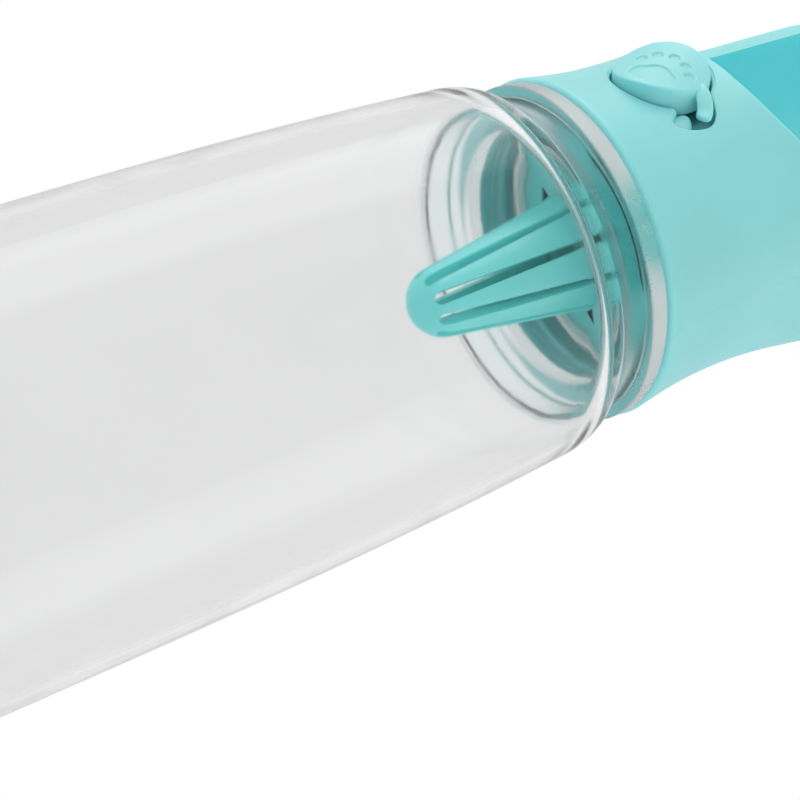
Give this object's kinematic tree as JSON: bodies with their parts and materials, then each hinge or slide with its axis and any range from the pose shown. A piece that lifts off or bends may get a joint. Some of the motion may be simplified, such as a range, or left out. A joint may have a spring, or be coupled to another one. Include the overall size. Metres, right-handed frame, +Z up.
{
  "type": "dog travel water bottle",
  "caption": "Clear travel water bottle with a screw-on drinking trough, a slotted filter basket under the head and a sprung button valve with a turning lock tab.",
  "frame": {"origin": "centre of the bottle's standing ring, on the surface that it stands on", "axes": "+Z up along the bottle towards the trough's tip, -Y towards the button and the trough's open side, +X towards the lock tab"},
  "size_m": [0.072, 0.072, 0.2628],
  "materials": {
    "clear_plastic": "clear, polished",
    "aqua_plastic": "satin moulded",
    "basket_plastic": "satin moulded",
    "silicone": "matt silicone",
    "stainless": "bright drawn steel"
  },
  "bodies": {
    "bottle": {"bottle": "clear_plastic"},
    "gasket": {"neck_gasket": "silicone"},
    "head": {"head_shell": "aqua_plastic", "valve_body": "aqua_plastic", "bulkhead_seal": "silicone", "chamber_cap": "aqua_plastic", "chamber_cap_seal": "silicone", "outlet_grommet": "silicone", "basket_seal": "silicone", "return_spring": "stainless"},
    "stem": {"valve_stem": "aqua_plastic", "front_stem_seal": "silicone", "rear_stem_seal": "silicone", "valve_plug": "silicone", "plug_washer": "stainless", "plug_screw": "stainless"},
    "button": {"button_cap": "aqua_plastic"},
    "basket": {"filter_basket": "basket_plastic"}
  },
  "joints": [
    {"name": "head_unscrew", "type": "hinge", "parent": "bottle", "child": "gasket", "pos_m": [0, 0, 0.15], "axis": [0, 0, 1], "range_deg": [0, 600]},
    {"name": "head_lift", "type": "slide", "parent": "gasket", "child": "head", "axis": [0, 0, 1], "range_m": [0, 0.0059]},
    {"name": "button_press", "type": "slide", "parent": "head", "child": "stem", "axis": [0, 1, 0], "range_m": [0, 0.0025], "stiffness_N_per_m": 900, "springref_m": -0.004, "deforming": ["return_spring"]},
    {"name": "lock_turn", "type": "hinge", "parent": "stem", "child": "button", "pos_m": [0, -0.0318, 0.1673], "axis": [0, -1, 0], "range_deg": [-17, 0]},
    {"name": "basket_pull", "type": "slide", "parent": "head", "child": "basket", "axis": [0, 0, -1], "range_m": [0, 0.006]}
  ],
  "couplings": [
    {"joint": "head_lift", "follows": "head_unscrew", "m_per_rad": 0.00055704}
  ]
}
